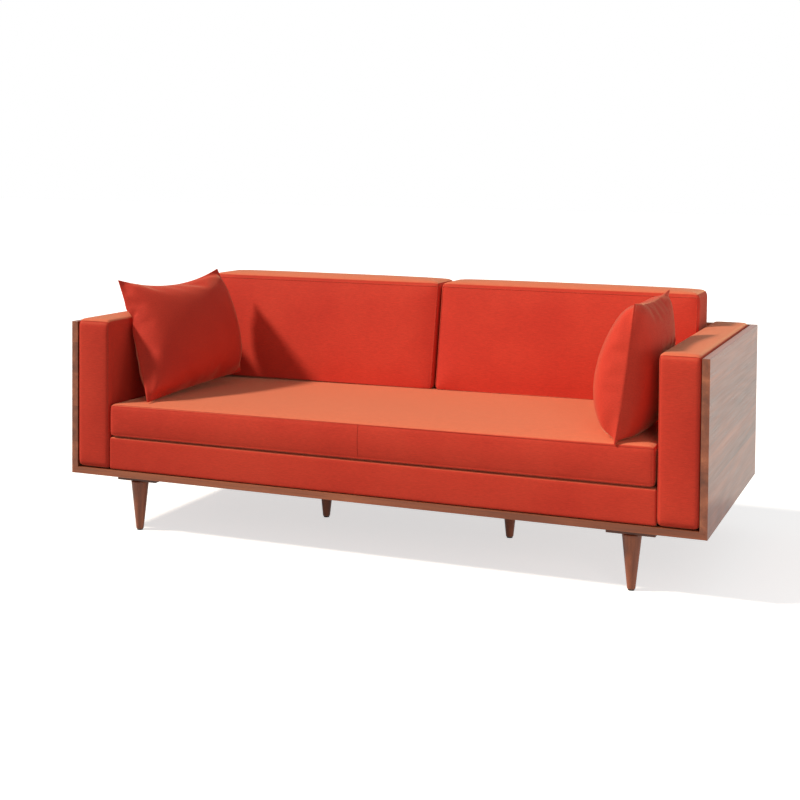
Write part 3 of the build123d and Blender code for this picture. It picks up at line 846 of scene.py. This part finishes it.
def sewLine(bm, surface, points, closed=True):
    path = []
    for point in walkLoop(points, seam["step"], closed):
        spot, normal = surface.find_nearest(point)[:2]
        path.append(spot + normal * seam["radius"] * seam["lift"])
    rings = []
    count = len(path)
    for number, spot in enumerate(path):
        before = path[(number - 1) % count] if closed or number else spot
        after = path[(number + 1) % count] if closed or number < count - 1 else spot
        along = (after - before).normalized()
        outward = surface.find_nearest(spot)[1]
        sideways = along.cross(outward).normalized()
        outward = sideways.cross(along)
        ring = []
        for turn in range(seam["sides"]):
            angle = 2 * math.pi * turn / seam["sides"]
            spoke = sideways * math.cos(angle) + outward * math.sin(angle)
            ring.append(bm.verts.new(spot + spoke * seam["radius"]))
        rings.append(ring)
    pairs = list(zip(rings, rings[1:])) + ([(rings[-1], rings[0])] if closed else [])
    for first, second in pairs:
        for turn in range(seam["sides"]):
            other = (turn + 1) % seam["sides"]
            bm.faces.new((first[turn], first[other], second[other], second[turn]))


def sewPiece(name, piece, body, loops):
    surface = surfaceOf(piece)
    bm = bmesh.new()
    for points, closed in loops:
        sewLine(bm, surface, [Vector(point) for point in points], closed)
    bmesh.ops.recalc_face_normals(bm, faces=bm.faces[:])
    line = linkPiece(name, bm, seamThread)
    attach(line, body)


# how far in from its piece's box each seam runs
seatSeam = {"side": 0.004, "front": 0.002, "rear": 0.004, "top": 0.004, "foot": 0.006}
splitSeam = {"x": -0.012, "front": -0.01, "top": 0.006, "foot": 0.008}
backSeam = {"side": 0.005, "foot": 0.009, "top": 0.019}
armSeam = {"side": 0.004, "front": 0.002, "end": 0.010}

seamThread = makeCloth("seamThread", 0.72)
low, high = seatLow, seatHigh
left, right = low.x + seatSeam["side"], high.x - seatSeam["side"]
front, rear = low.y + seatSeam["front"], high.y - seatSeam["rear"]
loops = []
for level in (high.z - seatSeam["top"], low.z + seatSeam["foot"]):
    corners = ((left, front, level), (right, front, level), (right, rear, level), (left, rear, level))
    loops.append((corners, True))
front = low.y + splitSeam["front"]
ends = [(splitSeam["x"], front, z) for z in (high.z - splitSeam["top"], low.z + splitSeam["foot"])]
loops.append((ends, False))
sewPiece("seatSeams", seatCushion, "seat_cushion", loops)
for side, piece in backCushions.items():
    low, high = boxOf("back_cushion_" + side + "_cover")
    left, right = low.x + backSeam["side"], high.x - backSeam["side"]
    foot, top = low.z + backSeam["foot"], high.z - backSeam["top"]
    slope = wedge["crest"] - wedge["foot"]
    corners = ((left, foot), (right, foot), (right, top), (left, top))
    frontLoop = [(x, wedge["foot"] + slope * (z - low.z) / (high.z - low.z), z) for x, z in corners]
    rearLoop = [(x, high.y, z) for x, z in corners]
    sewPiece("backSeams" + side.title(), piece, "back_cushion_" + side, [(frontLoop, True), (rearLoop, True)])
for side, piece in arms.items():
    low, high = boxOf("arm_cover_" + side)
    left, right = low.x + armSeam["side"], high.x - armSeam["side"]
    foot, top = low.z + armSeam["end"], high.z - armSeam["end"]
    front = low.y + arm["lowTrim"][1] + armSeam["front"]
    points = [(x, front, z) for x, z in ((left, foot), (left, top), (right, top), (right, foot))]
    sewPiece("armSeams" + side.title(), piece, "root", [(points, False)])
print("seams sewn")


# zips: a tape, a row of teeth and a slider, laid on the rear of each box cushion
zipper = {
    "tape": 0.024,
    "rows": (-0.5, -0.17, 0.17, 0.5),
    "cell": 0.012,
    "thick": 0.0008,
    "lift": 0.0004,
    "tooth": (0.0018, 0.0013, 0.0042),
    "pitch": 0.0032,
    "margin": 0.02,
    "stagger": 0.0006,
    "toothLift": 0.0009,
    "sliderStart": 0.022,
    "sliderLift": 0.0022,
    "slider": (((0, 0, 0), (0.012, 0.0036, 0.009)), ((0, 0.0022, 0), (0.007, 0.0014, 0.003)),
               ((0.019, 0.0010, 0), (0.030, 0.0014, 0.007))),
}


def addBlock(bm, spot, size):
    bmesh.ops.create_cube(bm, size=1, matrix=Matrix.Translation(spot) @ Matrix.Diagonal((*size, 1)))


def makeZip(name, piece, node, body):
    low, high = boxOf(node)
    surface = surfaceOf(piece)
    level = (low.z + high.z) / 2
    bm = bmesh.new()

    def onRear(x, z, lift):
        spot = surface.ray_cast(Vector((x, high.y + 0.15, z)), Vector((0, -1, 0)))[0]
        return Vector((x, (spot.y if spot else high.y) + lift, z))

    columns = int((high.x - low.x) / zipper["cell"])
    grid = []
    for column in range(columns + 1):
        x = low.x + (high.x - low.x) * column / columns
        grid.append([bm.verts.new(onRear(x, level + row * zipper["tape"], zipper["lift"]))
                     for row in zipper["rows"]])
    for first, second in zip(grid, grid[1:]):
        for row in range(len(first) - 1):
            bm.faces.new((first[row], first[row + 1], second[row + 1], second[row]))
    tape = linkPiece(name + "Tape", bm, zipTape)
    thick = tape.modifiers.new("thick", "SOLIDIFY")
    thick.thickness = zipper["thick"]
    thick.offset = 0

    metal = bmesh.new()
    count = int((high.x - low.x - 2 * zipper["margin"]) / zipper["pitch"])
    for number in range(count):
        x = low.x + zipper["margin"] + number * zipper["pitch"]
        spot = onRear(x, level, zipper["lift"] + zipper["toothLift"])
        spot.z += zipper["stagger"] if number % 2 else -zipper["stagger"]
        addBlock(metal, spot, zipper["tooth"])
    start = onRear(low.x + zipper["sliderStart"], level, zipper["lift"] + zipper["sliderLift"])
    for offset, size in zipper["slider"]:
        addBlock(metal, start + Vector(offset), size)
    bmesh.ops.recalc_face_normals(metal, faces=metal.faces[:])
    teeth = linkPiece(name + "Teeth", metal, zipMetal)
    for item in (tape, teeth):
        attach(item, body)
    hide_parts(node)


zipTape = makeCloth("zipTape", 0.8)
zipMetal = makePlain("zipMetal", (0.42, 0.30, 0.16), 0.32, metallic=1.0, spread=0.1, bump=0.05)
makeZip("seatZip", seatCushion, "seat_cushion_zip", "seat_cushion")
for side, piece in backCushions.items():
    makeZip("backZip" + side.title(), piece, "back_cushion_" + side + "_zip", "back_cushion_" + side)
print("zips fitted")


# turned legs, spun round from half a profile; each edge is a row of (radius, height) steps from its rim
leg = {
    "top": 0.029,
    "foot": 0.0125,
    "footEdge": ((-0.0025, 0), (-0.0008, 0.0008), (0, 0.0028)),
    "topEdge": ((-0.0008, -0.012), (0, -0.006), (0, -0.0012), (-0.0012, 0)),
    "steps": 56,
    "rows": 10,
}


def makeLeg(node, name):
    low, high = boxOf(node)
    middle = (low + high) / 2
    profile = [(0, low.z)]
    profile += [(leg["foot"] + wider, low.z + higher) for wider, higher in leg["footEdge"]]
    profile += [(leg["top"] + wider, high.z + higher) for wider, higher in leg["topEdge"]]
    profile.append((0, high.z))
    bm = bmesh.new()
    points = [bm.verts.new((middle.x + radius, middle.y, height)) for radius, height in profile]
    for first, second in zip(points, points[1:]):
        bm.edges.new((first, second))
    longest = max(bm.edges, key=lambda edge: edge.calc_length())
    bmesh.ops.subdivide_edges(bm, edges=[longest], cuts=leg["rows"])
    bmesh.ops.spin(bm, geom=bm.verts[:] + bm.edges[:], cent=middle, axis=(0, 0, 1), angle=2 * math.pi,
                   steps=leg["steps"], use_merge=True)
    bmesh.ops.remove_doubles(bm, verts=bm.verts[:], dist=0.00001)
    bmesh.ops.recalc_face_normals(bm, faces=bm.faces[:])
    piece = linkPiece(name, bm, legWalnut)
    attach(piece, "root")
    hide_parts(node)


for nodeName in list(nodes):
    if nodeName.split("_")[:2] in (["leg", "front"], ["leg", "rear"], ["leg", "centre"]):
        makeLeg(nodeName, "turned" + nodeName.title().replace("_", ""))
print("legs turned")


# every soft piece stands for its cover and rides with it
def place(piece, body, slotName, fill, *hidden):
    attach(piece, body)
    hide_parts(*hidden)


place(seatCushion, "seat_cushion", "orange_cloth", 0.8, "seat_cushion_cover", "seat_cushion_core")
for side, piece in backCushions.items():
    body = "back_cushion_" + side
    place(piece, body, "orange_cloth", 0.75, body + "_cover", body + "_core")
for side, piece in pillows.items():
    body = "pillow_" + side
    place(piece, body, "orange_cloth", 0.7, body + "_cover", body + "_insert", body + "_zip")
for side, piece in arms.items():
    place(piece, "root", "orange_cloth", 0.9, "arm_cover_" + side, "arm_foam_" + side)
place(seatDeck, "root", "orange_cloth", 0.9, "deck_cover", "deck_foam")
place(innerBack, "root", "orange_cloth", 0.9, "back_lining", "back_pad")


# pale floor and soft studio light
studio = {
    "sunWay": (0.67, 0.32, -0.67),
    "sun": 3.6,
    "sunColour": (1.0, 0.90, 0.76),
    "spread": 7,
    "fill": 0.25,
    "mirrored": 0.55,
    "floorSize": 30,
    "floorSeen": (0.80, 0.80, 0.80, 1),
    "floorUnseen": (0.30, 0.29, 0.28, 1),
    "floorGlow": 0.62,
    "floorRoughness": 0.9,
    "cardColour": (1.0, 0.97, 0.94),
}
cards = {
    "sideCard": {"place": (3.6, -0.3, 0.60), "aim": (1.07, 0.0, 0.45), "size": (2.0, 1.0), "power": 20},
    "frontCard": {"place": (2.3, -3.0, 1.5), "aim": (-0.8, -0.1, 0.6), "size": (1.2, 1.2), "power": 10},
}


def seenOrMirrored(tree):
    path = addNode(tree, "ShaderNodeLightPath")
    mirror = mathNode(tree, "MULTIPLY", path.outputs["Is Glossy Ray"], studio["mirrored"])
    return mathNode(tree, "MAXIMUM", path.outputs["Is Camera Ray"], mirror)


def addFloor():
    # the camera sees it near white; the sofa gets only a little light back from it
    bm = bmesh.new()
    bmesh.ops.create_grid(bm, x_segments=1, y_segments=1, size=studio["floorSize"])
    paint, tree, shader = newMaterial("floorPaint")
    seen = seenOrMirrored(tree)
    tone = mixColour(tree, "MIX", seen, studio["floorUnseen"], studio["floorSeen"])
    tree.links.new(tone, shader.inputs["Base Color"])
    tree.links.new(mathNode(tree, "MULTIPLY", seen, studio["floorGlow"]), shader.inputs["Emission Strength"])
    setInputs(shader, {"Emission Color": (1, 1, 1, 1), "Roughness": studio["floorRoughness"]})
    linkPiece("studioFloor", bm, paint)


def addLamp(name, kind, energy, colour):
    lamp = bpy.data.lights.new(name, kind)
    lamp.energy = energy
    lamp.color = colour
    item = bpy.data.objects.new(name, lamp)
    scene.collection.objects.link(item)
    return lamp, item


def addSun():
    lamp, item = addLamp("windowSun", "SUN", studio["sun"], studio["sunColour"])
    lamp.angle = math.radians(studio["spread"])
    item.rotation_euler = Vector(studio["sunWay"]).to_track_quat("-Z", "Y").to_euler()


def addCards():
    for name, card in cards.items():
        lamp, item = addLamp(name, "AREA", card["power"], studio["cardColour"])
        lamp.shape = "RECTANGLE"
        lamp.size, lamp.size_y = card["size"]
        item.location = card["place"]
        item.rotation_euler = (Vector(card["aim"]) - item.location).to_track_quat("-Z", "Y").to_euler()


def addSky():
    world = bpy.data.worlds.new("studioWorld")
    scene.world = world
    world.use_nodes = True
    tree = world.node_tree
    fill = tree.nodes["Background"]
    setInputs(fill, {"Color": (1, 1, 1, 1), "Strength": studio["fill"]})
    white = addNode(tree, "ShaderNodeBackground", {"Color": (1, 1, 1, 1), "Strength": 1.0})
    shares = {0: seenOrMirrored(tree), 1: fill.outputs[0], 2: white.outputs[0]}
    blend = addNode(tree, "ShaderNodeMixShader", shares)
    tree.links.new(blend.outputs[0], tree.nodes["World Output"].inputs["Surface"])


addFloor()
addSun()
addCards()
addSky()
print("studio lit")
